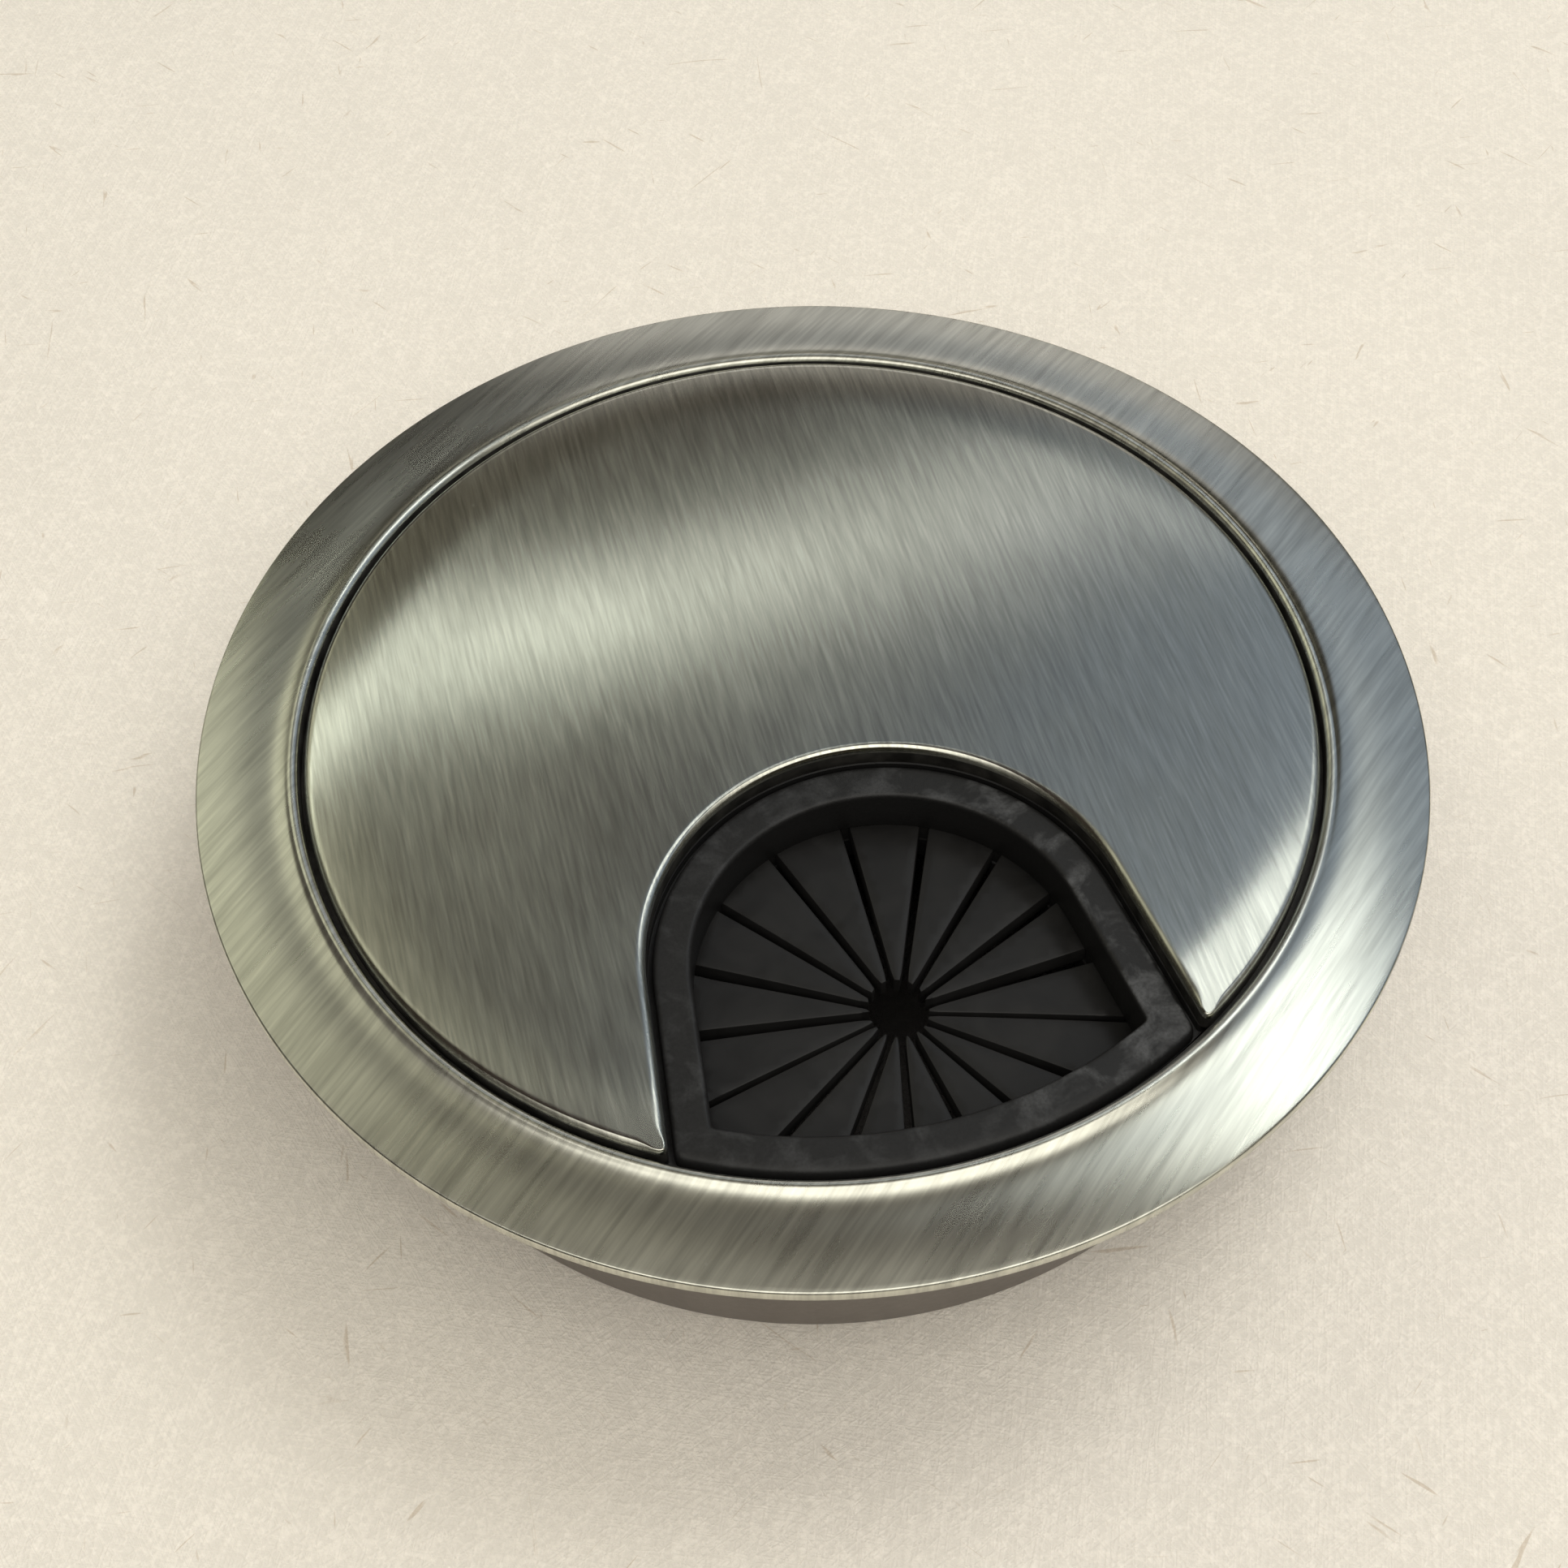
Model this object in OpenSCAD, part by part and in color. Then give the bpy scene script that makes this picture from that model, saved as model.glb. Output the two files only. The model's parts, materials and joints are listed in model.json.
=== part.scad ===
// Round metal desk grommet for a 60 mm cable hole. A die-cast ring drops into the hole, and a metal
// cap turns in the ring or lifts out of it. Cables pass through the cap's port, between rubber flaps.
// The origin is at the centre of the sleeve's foot, +Z is up, and the port opens towards -Y.

/* [Overall] */
// Outside diameter of the flange that rests on the desk
flange_d = 70; // [69:0.5:76]
// Outside diameter of the sleeve, which drops into a 60 mm hole
sleeve_d = 59; // [58.9:0.1:59.5]
// Height from the sleeve's foot to the top of the cap
overall_h = 17.7; // [12:0.1:30]

/* [Ring] */
// Wall of the sleeve
sleeve_wall = 2; // [1.6:0.1:2.2]
// Height of the flange's upright outer edge
edge_h = 0.8; // [0.6:0.1:1.2]
// Depth of the flange's outer edge below the top of the cap
edge_drop = 1; // [0.8:0.1:1.3]
// Depth of the bead around the cap, below the top of the cap
bead_drop = 0.25; // [0:0.05:0.4]
// Radius of the bead's crest
bead_r = 0.4; // [0.3:0.05:0.45]
// Rise of the flange's crown above a straight slope
crown_h = 0.1; // [0:0.05:0.2]

/* [Cap] */
// Diameter of the metal cap plate
cap_d = 57.6; // [57:0.1:57.8]
// Gap around the cap plate
cap_gap = 0.32; // [0.2:0.02:0.4]
// Thickness of the cap plate
cap_t = 1.4; // [1.2:0.1:1.6]
// Radius of the cap plate's rolled edges
cap_edge_r = 0.5; // [0.2:0.05:0.6]
// Thickness of the plastic carrier under the cap plate
carrier_t = 1.4; // [1.2:0.1:1.6]
// Thickness of the glide ring that the carrier rests on
glide_t = 0.5; // [0.4:0.1:0.8]

/* [Cable port] */
// Distance from the cap's centre to the centre of the port's arch
port_offset = 16.3; // [15.5:0.1:17]
// Radius of the arch cut in the cap plate
notch_r = 13.15; // [12.5:0.05:13.5]
// Angle by which each straight side of the port opens towards the rim
port_flare = 7.1; // [5:0.1:9]
// Gap between the notch in the cap plate and the frame
frame_gap = 0.3; // [0.2:0.05:0.5]
// Width of the frame's wall
frame_w = 2.1; // [1.8:0.1:2.3]
// Width of the frame's bar along the rim
bar_w = 2.3; // [2.2:0.1:2.6]
// Depth of the frame's face below the top of the cap
frame_drop = 1.27; // [1:0.01:1.4]
// Depth of the flaps below the frame's face
port_depth = 2.88; // [2.5:0.01:3.2]

/* [Diaphragm] */
// Number of flaps
flap_count = 17; // [15:1:19]
// Thickness of the rubber
flap_t = 1.2; // [0.8:0.1:1.4]
// Distance from the centre of the port's arch to the hole between the flaps
hole_offset = 1.6; // [0:0.1:2]
// Angle by which the slits are turned from the port's centre line
slit_turn = -2.2; // [-4:0.1:4]
// Radius of the hole between the flaps
hole_r = 1.45; // [1.3:0.05:1.7]
// Thickness of the retainer under the diaphragm
retainer_t = 1.45; // [1.2:0.05:1.8]

/* [Hidden] */
$fn = 96;

// Heights, from the top down
top_z = overall_h;
bead_z = top_z - bead_drop;
edge_top_z = top_z - edge_drop;
flange_under_z = edge_top_z - edge_h;
frame_z = top_z - frame_drop;
cap_under_z = top_z - cap_t;
carrier_under_z = cap_under_z - carrier_t;
ledge_z = carrier_under_z - glide_t;
flap_top_z = frame_z - port_depth;
hinge_z = flap_top_z - flap_t / 2;
flap_under_z = flap_top_z - flap_t;
retainer_under_z = flap_under_z - retainer_t;
skirt_foot_z = carrier_under_z - 3.9;
rib_under_z = carrier_under_z - 1.4;
well_floor_z = cap_under_z - 0.1;

// Radii about the grommet's axis
flange_r = flange_d / 2;
sleeve_r = sleeve_d / 2;
bore_r = sleeve_r - sleeve_wall;
cap_r = cap_d / 2;
well_r = cap_r + cap_gap;
groove_r = well_r + 1.3;
carrier_r = cap_r - 0.3;
seat_r = carrier_r + 0.25;
running_gap = 0.08;
skirt_r = bore_r - running_gap;
bar_r = carrier_r - bar_w;
glide_r = carrier_r;
glide_in_r = bore_r + 0.2;

// Radii about the port's arch centre
frame_r = notch_r - frame_gap;
port_r = frame_r - frame_w;
rim_r = frame_r - 0.25;
ear_offset = frame_r + 1.6;

// Small sizes that every piece shares
ease = 0.2;
foot_chamfer = 0.3;
groove_depth = 0.7;
bar_round = 0.7;
reach = 45;
eps = 0.01;

// Screws: head radius, head height, shank radius, shank length
cap_screw = [2.5, 0.9, 0.85, 1.9];
retainer_screw = [1.6, 1, 0.75, 3.6];
recess_w = 0.5;
recess_depth = 0.5;
shank_gap = 0.05;
thread_runout = 0.2;
boss_wall = 0.9;
boss_gap = 0.1;
ear_r = 2.1;
cap_screw_places = [[20, -8], [14, 16], [-14, 16], [-20, -8]];
ear_angles = [for (i = [0:4]) -8 + 49 * i];

// Flaps
slit_pitch = 360 / flap_count;
hinge_inset = flap_t / 2 + 0.05;
slit_root_gap = 0.24;
slit_tip_gap = 0.13;
tip_gap = 0.17;
shoulder_r = hole_r + 0.4;
slit_far_r = 14;
arch_centre = [0, -port_offset];
hole_centre = [0, -port_offset - hole_offset];

function flap_name(i) = str("flap_", i < 10 ? "0" : "", i);

// ---- Geometry of the port ------------------------------------------------------------------------

// Direction at angle a, and the same turned a quarter turn to the left
function along(a) = [cos(a), sin(a)];
function across(a) = [-sin(a), cos(a)];

// Point on a straight side of the arch, d past the tangent point; s is 1 for the right side
function side_point(s, r, d) = [
    s * (r * cos(port_flare) + d * sin(port_flare)),
    r * sin(port_flare) - d * cos(port_flare) - port_offset
];

// Arch of radius r whose sides flare out to a circle of radius outer_r about the grommet's axis
module arch(r, outer_r) {
    intersection() {
        circle(outer_r);
        union() {
            translate(arch_centre) circle(r);
            polygon([side_point(1, r, 0), side_point(1, r, reach),
                     side_point(-1, r, reach), side_point(-1, r, 0)]);
        }
    }
}

// Distance from the hole, in direction a, to the circle of radius r about centre
function to_circle(centre, r, a) =
    let (d = centre - hole_centre, b = d * along(a))
    b + sqrt(b * b - d * d + r * r);

// Distance from the hole, in direction a, to the straight side of the port
function to_side(a) =
    let (s = cos(a) < 0 ? -1 : 1, normal = [s * cos(port_flare), sin(port_flare)], rate = along(a) * normal)
    rate < eps ? reach : (port_r - (hole_centre - arch_centre) * normal) / rate;

// Distance from the hole, in direction a, to the port's wall
function to_wall(a) =
    let (arc = to_circle(arch_centre, port_r, a), y = hole_centre[1] + arc * sin(a))
    min(to_circle([0, 0], bar_r, a), y > side_point(1, port_r, 0)[1] ? arc : to_side(a));

// Slit i runs at slit_angle(i) and meets the wall at slit_end(i); flap i lies between slits i and i + 1
function slit_angle(i) = 90 + slit_turn - i * slit_pitch;
function slit_end(i) = hole_centre + to_wall(slit_angle(i)) * along(slit_angle(i));

// Point at distance r along slit i, moved sideways by gap
function slit_point(i, r, gap) =
    hole_centre + r * along(slit_angle(i)) + gap * across(slit_angle(i));

// Outline of flap i between its two slits, with a blunt, chamfered tip
function flap_outline(i) = [
    slit_point(i + 1, hole_r, tip_gap),
    slit_point(i + 1, shoulder_r, slit_tip_gap),
    slit_point(i + 1, slit_far_r, slit_root_gap),
    slit_point(i, slit_far_r, -slit_root_gap),
    slit_point(i, shoulder_r, -slit_tip_gap),
    slit_point(i, hole_r, -tip_gap)
];

// ---- Shared shapes -------------------------------------------------------------------------------

// Flat annulus
module washer(outer_r, inner_r, z0, z1) {
    translate([0, 0, z0]) difference() {
        cylinder(h = z1 - z0, r = outer_r);
        translate([0, 0, -1]) cylinder(h = z1 - z0 + 2, r = inner_r);
    }
}

// Upright prism of a flat outline
module prism(z0, z1) {
    translate([0, 0, z0]) linear_extrude(z1 - z0) children();
}

// Section that rounds an upper edge: the solid lies beyond x = 0 and below y = 0
module edge_section(r) {
    difference() {
        translate([-r, -r]) square([2 * r, 2 * r]);
        translate([r, -r]) circle(r);
    }
}

// Screw with its head's underside at z = 0, its shank up and a cross recess in its head
module screw(s) {
    difference() {
        union() {
            translate([0, 0, -s[1]]) cylinder(h = s[1], r1 = s[0] - ease, r2 = s[0]);
            translate([0, 0, -eps]) cylinder(h = s[3] + eps, r = s[2]);
        }
        for (turn = [0, 90])
            rotate(turn)
                translate([-s[0] / 2, -recess_w / 2, -s[1] - 1])
                    cube([s[0], recess_w, recess_depth + 1]);
    }
}

// Repeats its children at each place of the cap's screws
module at_cap_screws() {
    for (p = cap_screw_places)
        translate([p[0], p[1], 0])
            children();
}

// Repeats its children at each ear of the retainer
module at_ears() {
    for (a = ear_angles)
        translate(concat(arch_centre + ear_offset * along(a), 0))
            children();
}

// ---- Sub-parts -----------------------------------------------------------------------------------

// Point t of the way from the flange's outer edge in to the groove beside the bead
function crown_point(t) = [
    flange_r - ease + t * (groove_r - flange_r + ease),
    edge_top_z + t * (bead_z - bead_r + 0.1 - edge_top_z) + crown_h * 4 * t * (1 - t)
];

// Die-cast ring: flange, bead, recess for the cap, ledge and sleeve
module outer_ring() {
    color([0.62, 0.62, 0.56])
        rotate_extrude() {
            polygon(concat(
                [[bore_r + foot_chamfer, 0], [sleeve_r - foot_chamfer, 0], [sleeve_r, foot_chamfer]],
                [[sleeve_r, flange_under_z], [flange_r - ease, flange_under_z]],
                [[flange_r, flange_under_z + ease], [flange_r, edge_top_z - ease]],
                [for (i = [0:8]) crown_point(i / 8)],
                [[well_r + bead_r, bead_z - bead_r], [well_r, bead_z - bead_r]],
                [[well_r, well_floor_z], [seat_r, well_floor_z], [seat_r, ledge_z]],
                [[bore_r, ledge_z], [bore_r, foot_chamfer]]
            ));
            translate([well_r + bead_r, bead_z - bead_r]) circle(bead_r);
        }
}

// Plain plastic ring that lets the cap turn quietly on the ledge
module glide_ring() {
    color([0.85, 0.85, 0.82])
        washer(glide_r, glide_in_r, ledge_z, carrier_under_z);
}

// Cap plate before the port is cut: a disc with a rolled upper edge
module cap_disc() {
    rotate_extrude() {
        translate([0, cap_under_z]) square([cap_r, cap_t - cap_edge_r]);
        translate([0, cap_under_z]) square([cap_r - cap_edge_r, cap_t]);
        translate([cap_r - cap_edge_r, top_z - cap_edge_r]) circle(cap_edge_r);
    }
}

// Rounding of the notch's upper edge, round the arch and down both sides
module notch_rounding() {
    translate(concat(arch_centre, top_z)) {
        rotate(-port_flare)
            rotate_extrude(angle = 180 + 2 * port_flare)
                translate([notch_r, 0]) edge_section(cap_edge_r);
        for (side = [0, 1])
            mirror([side, 0, 0])
                rotate(-port_flare)
                    rotate([90, 0, 0])
                        linear_extrude(reach)
                            translate([notch_r, 0]) edge_section(cap_edge_r);
    }
}

// Brushed metal top plate with four cast bosses underneath
module cap_plate() {
    boss_r = cap_screw[2] + boss_wall;
    color([0.66, 0.66, 0.60])
        difference() {
            union() {
                difference() {
                    cap_disc();
                    prism(cap_under_z - 1, top_z + 1) arch(notch_r, reach);
                    notch_rounding();
                }
                at_cap_screws()
                    translate([0, 0, carrier_under_z + boss_gap])
                        cylinder(h = carrier_t, r = boss_r);
            }
            at_cap_screws()
                translate([0, 0, carrier_under_z])
                    cylinder(h = cap_screw[3] + thread_runout, r = cap_screw[2] + shank_gap);
        }
}

// Ribs under the carrier, from its middle out to the skirt
module carrier_ribs() {
    prism(rib_under_z, carrier_under_z + eps) difference() {
        intersection() {
            circle(bar_r + 0.5);
            union() {
                for (a = [-12:34:192])
                    rotate(a)
                        translate([0, -0.5]) square([reach, 1]);
            }
        }
        arch(frame_r - 0.5, reach);
        circle(5);
    }
    washer(6, 5, rib_under_z, carrier_under_z + eps);
}

// Moulded carrier: disc, skirt that turns in the sleeve, and the frame around the cable port
module cap_carrier() {
    boss_hole_r = cap_screw[2] + boss_wall + boss_gap;
    color([0.10, 0.10, 0.11])
        difference() {
            union() {
                difference() {
                    translate([0, 0, carrier_under_z]) cylinder(h = carrier_t, r = carrier_r);
                    prism(cap_under_z - groove_depth, top_z) arch(notch_r, reach);
                }
                prism(carrier_under_z, frame_z) arch(frame_r, carrier_r);
                prism(flap_top_z, carrier_under_z + eps) arch(frame_r, skirt_r);
                difference() {
                    washer(skirt_r, bar_r, skirt_foot_z, carrier_under_z + eps);
                    prism(skirt_foot_z - 1, flap_top_z) arch(frame_r + 0.1, reach);
                }
                carrier_ribs();
                at_ears() translate([0, 0, flap_under_z])
                    cylinder(h = carrier_under_z - flap_under_z + eps, r = retainer_screw[2] + boss_wall);
            }
            prism(skirt_foot_z - 1, top_z) arch(port_r, bar_r);
            prism(flap_under_z - 1, flap_top_z) arch(frame_r - eps, reach);
            rotate_extrude()
                translate([carrier_r, frame_z]) mirror([1, 0]) edge_section(bar_round);
            at_cap_screws()
                translate([0, 0, carrier_under_z - 1]) cylinder(h = carrier_t + 2, r = boss_hole_r);
            at_cap_screws()
                translate([0, 0, rib_under_z - 1])
                    cylinder(h = carrier_under_z - rib_under_z + 1, r = cap_screw[0] + 0.2);
            at_ears()
                translate([0, 0, retainer_under_z])
                    cylinder(h = retainer_screw[3] + thread_runout, r = retainer_screw[2] + shank_gap);
        }
}

// Four flanged screws that hold the carrier under the cap plate
module cap_screws() {
    color([0.75, 0.75, 0.75])
        at_cap_screws()
            translate([0, 0, carrier_under_z]) screw(cap_screw);
}

// Outer band of the rubber moulding, clamped between the frame and the retainer
module diaphragm_rim() {
    color([0.14, 0.14, 0.15])
        prism(flap_under_z, flap_top_z) difference() {
            arch(rim_r, skirt_r - 0.2);
            polygon([for (i = [0:flap_count - 1]) slit_end(i)]);
        }
}

// Rubber flap i, rounded at its root about the line on which it bends
module flap(i) {
    start = slit_end(i);
    end = slit_end(i - 1);
    run = end - start;
    middle = (start + end) / 2;
    turn = atan2(run[1], run[0]);
    color([0.16, 0.16, 0.17])
        intersection() {
            prism(flap_under_z, flap_top_z) polygon(flap_outline(i - 1));
            translate([middle[0], middle[1], hinge_z]) rotate(turn) translate([0, hinge_inset, 0]) {
                translate([-reach, 0, -flap_t / 2]) cube([2 * reach, reach, flap_t]);
                translate([-reach, 0, 0]) rotate([0, 90, 0]) cylinder(h = 2 * reach, r = flap_t / 2);
            }
        }
}

// Moulded retainer that clamps the diaphragm's rim under the frame
module diaphragm_retainer() {
    color([0.12, 0.12, 0.13])
        difference() {
            union() {
                prism(retainer_under_z, flap_under_z) arch(frame_r, skirt_r);
                at_ears() translate([0, 0, retainer_under_z]) cylinder(h = retainer_t, r = ear_r);
            }
            prism(retainer_under_z - 1, flap_under_z + 1) arch(port_r, bar_r);
            at_ears() translate([0, 0, retainer_under_z - 1])
                cylinder(h = retainer_t + 2, r = retainer_screw[2] + 0.2);
        }
}

// Five small screws that hold the retainer up against the carrier
module retainer_screws() {
    color([0.70, 0.70, 0.70])
        at_ears() translate([0, 0, retainer_under_z]) screw(retainer_screw);
}

outer_ring();
glide_ring();
cap_plate();
cap_carrier();
cap_screws();
diaphragm_rim();
diaphragm_retainer();
retainer_screws();
for (i = [1:flap_count])
    flap(i);
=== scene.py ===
"""Looks of the desk grommet: brushed nickel ring and cap, black port frame and slit rubber flaps."""

import json
import math
import random

import bpy
import numpy as np
from mathutils import Matrix, Vector
from mathutils.geometry import delaunay_2d_cdt


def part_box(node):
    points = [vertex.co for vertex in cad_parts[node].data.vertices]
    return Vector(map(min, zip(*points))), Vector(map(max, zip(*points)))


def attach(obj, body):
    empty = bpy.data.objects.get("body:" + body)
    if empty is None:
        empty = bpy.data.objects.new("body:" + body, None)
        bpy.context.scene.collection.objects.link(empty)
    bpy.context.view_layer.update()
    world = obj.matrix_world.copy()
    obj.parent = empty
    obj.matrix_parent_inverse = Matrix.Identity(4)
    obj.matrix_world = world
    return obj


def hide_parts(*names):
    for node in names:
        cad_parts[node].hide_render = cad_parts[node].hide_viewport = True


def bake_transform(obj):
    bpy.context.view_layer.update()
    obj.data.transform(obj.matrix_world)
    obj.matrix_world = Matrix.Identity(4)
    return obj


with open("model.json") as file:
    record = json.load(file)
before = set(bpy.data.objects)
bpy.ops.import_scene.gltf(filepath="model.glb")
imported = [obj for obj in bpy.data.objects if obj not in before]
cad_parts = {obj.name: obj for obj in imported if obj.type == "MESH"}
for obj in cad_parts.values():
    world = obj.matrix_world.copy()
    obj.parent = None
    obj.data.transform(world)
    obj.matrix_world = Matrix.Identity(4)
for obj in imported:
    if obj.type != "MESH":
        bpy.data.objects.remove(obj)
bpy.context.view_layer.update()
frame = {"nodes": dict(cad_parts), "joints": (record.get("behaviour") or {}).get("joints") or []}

MM = 0.001

# ---- Sizes in metres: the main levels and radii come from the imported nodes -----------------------

flange_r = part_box("outer_ring")[1].x
bead_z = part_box("outer_ring")[1].z
top_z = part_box("cap_plate")[1].z
frame_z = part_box("cap_carrier")[1].z
carrier_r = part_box("cap_carrier")[1].x
skirt_foot_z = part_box("cap_carrier")[0].z
flap_top_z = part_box("diaphragm_rim")[1].z
flap_under_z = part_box("diaphragm_rim")[0].z
ledge_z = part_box("glide_ring")[0].z

# The ring
cap_r = carrier_r + 0.3 * MM
well_r = cap_r + 0.32 * MM
seat_r = carrier_r + 0.25 * MM
sleeve_r = flange_r - 5.5 * MM
bore_r = sleeve_r - 2 * MM
edge_top_z = top_z - 1 * MM
flange_under_z = edge_top_z - 0.8 * MM
well_floor_z = top_z - 1.5 * MM

# The bead, and the angle in degrees where the flange's slope meets it
bead_r = 0.4 * MM
BEAD_FOOT = 56

# The brushing: the direction across its strokes, from the X axis
CAP_BRUSH = 0.0
RING_BRUSH = math.radians(-50)

# The cap and the cable port
cap_under_z = top_z - 1.4 * MM
carrier_under_z = cap_under_z - 1.4 * MM
skirt_r = bore_r - 0.08 * MM
arch_centre = Vector((0, -16.3 * MM))
notch_r = 13.15 * MM
frame_outer_r = notch_r - 0.3 * MM
port_r = frame_outer_r - 2.1 * MM
bar_r = carrier_r - 2.3 * MM
flare = math.radians(7.1)
cap_screw_places = [Vector(p) * MM for p in ((20, -8), (14, 16), (-14, 16), (-20, -8))]
ear_places = [arch_centre + 14.45 * MM * Vector((math.cos(a), math.sin(a)))
              for a in (math.radians(-8 + 49 * i) for i in range(5))]

# The flaps
FLAPS = 17
hole_centre = arch_centre - Vector((0, 1.6 * MM))
hole_r = 1.45 * MM
slit_turn = math.radians(-2.2)
slit_pitch = math.tau / FLAPS
# Slits that stand wider or narrower than the rest, as shares of the usual gap
OPEN_SLITS = {3: 1.35, 4: 1.75, 5: 0.6, 7: 0.8, 12: 0.65, 13: 1.2, 14: 1.3}


# ---- Outlines: closed loops of points in plan, counter-clockwise ---------------------------------

def polar(r, a, centre=Vector((0, 0))):
    return Vector((centre[0] + r * math.cos(a), centre[1] + r * math.sin(a)))


def arc(r, a0, a1, centre=Vector((0, 0)), step=0.3 * MM):
    """Points along a circle from angle a0 to a1."""
    count = max(2, math.ceil(abs(a1 - a0) * r / step))
    return [polar(r, a0 + (a1 - a0) * i / count, centre) for i in range(count + 1)]


def line(p, q, step=0.3 * MM):
    count = max(1, math.ceil((q - p).length / step))
    return [p.lerp(q, i / count) for i in range(count + 1)]


def trimmed(points, reach):
    """The points from reach onwards, measured along the path."""
    left = reach
    for i in range(len(points) - 1):
        length = (points[i + 1] - points[i]).length
        if length > left:
            return [points[i].lerp(points[i + 1], left / length)] + points[i + 1:]
        left -= length
    return points[-1:]


def closed(stretches, reaches):
    """Joins stretches into a loop. The corner after stretch i is rounded off over reaches[i]."""
    parts = []
    for i, stretch in enumerate(stretches):
        start = trimmed(stretch, reaches[i - 1])
        parts.append(trimmed(start[::-1], reaches[i])[::-1])
    loop = []
    for i, part in enumerate(parts):
        after = parts[(i + 1) % len(parts)]
        loop += part[:-1]
        if reaches[i] == 0:
            continue
        corner = stretches[i][-1]
        for k in range(6):
            t = k / 6
            loop.append(part[-1] * (1 - t) ** 2 + corner * 2 * t * (1 - t) + after[0] * t ** 2)
    return np.array([tuple(p) for p in loop])


def side(r, outer_r):
    """The arch's right side: its tangent point and where it meets the circle outer_r."""
    tangent = polar(r, flare, arch_centre)
    down = Vector((math.sin(flare), -math.cos(flare)))
    along = tangent.dot(down)
    length = math.sqrt(along ** 2 - tangent.length_squared + outer_r ** 2) - along
    return tangent, tangent + down * length


def mirrored(p):
    return Vector((-p[0], p[1]))


def angle_of(p):
    return math.atan2(p[1], p[0])


def arch_loop(r, outer_r, corner):
    """Arch of radius r whose flared sides end on the circle outer_r."""
    tangent, end = side(r, outer_r)
    return closed([line(end, tangent), arc(r, flare, math.pi - flare, arch_centre),
                   line(mirrored(tangent), mirrored(end)),
                   arc(outer_r, -math.pi - angle_of(end), angle_of(end))],
                  [0, 0, corner, corner])


def notched_loop(r, outer_r, corner):
    """Disc of radius outer_r with the arch cut out of it."""
    tangent, end = side(r, outer_r)
    return closed([arc(outer_r, angle_of(end), math.pi - angle_of(end)),
                   line(mirrored(end), mirrored(tangent)),
                   arc(r, math.pi - flare, flare, arch_centre), line(tangent, end)],
                  [corner, 0, 0, corner])


def circle_loop(r, centre=Vector((0, 0)), step=0.5 * MM):
    count = math.ceil(math.tau * r / step)
    return np.array([tuple(polar(r, math.tau * i / count, centre)) for i in range(count)])


def distance_to(loop, point):
    """Distance from a point to the nearest side of the loop."""
    run = np.roll(loop, -1, 0) - loop
    rel = point - loop
    t = np.clip((rel * run).sum(1) / (run * run).sum(1), 0, 1)
    return np.hypot(*(rel - run * t[:, None]).T).min()


def inset_moves(loop, deepest):
    """Each point's move for an inset to the loop's left, shortened where the outline is narrow."""
    before = loop - np.roll(loop, 1, 0)
    after = np.roll(loop, -1, 0) - loop
    before /= np.linalg.norm(before, axis=1)[:, None]
    after /= np.linalg.norm(after, axis=1)[:, None]
    tangent = before + after
    tangent /= np.linalg.norm(tangent, axis=1)[:, None]
    normal = np.stack([-tangent[:, 1], tangent[:, 0]], 1)
    normal *= (deepest / np.clip((before * tangent).sum(1), 0.7, 1))[:, None]
    share = np.zeros(len(loop))
    for level in np.linspace(0.05, 1, 20):
        moved = loop + normal * level
        gap = np.array([distance_to(loop, q) for q in moved])
        free = (gap > 0.93 * level * abs(deepest)) & (share > level - 0.06)
        share[free] = level
    share[share < 1] *= 0.65
    share = np.min([np.roll(share, k) for k in (-2, -1, 0, 1, 2)], 0)
    share = np.mean([np.roll(share, k) for k in (-1, 0, 1)], 0)
    return normal * share[:, None]


def inside(points, loop):
    """Which points lie inside the loop."""
    x, y = points[:, :1], points[:, 1:2]
    a, b = loop, np.roll(loop, -1, 0)
    crosses = (a[:, 1] > y) != (b[:, 1] > y)
    rise = np.where(b[:, 1] == a[:, 1], 1e-12, b[:, 1] - a[:, 1])
    return ((crosses & (x < a[:, 0] + (y - a[:, 1]) * (b[:, 0] - a[:, 0]) / rise)).sum(1) % 2) == 1


# ---- Meshes --------------------------------------------------------------------------------------

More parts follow.
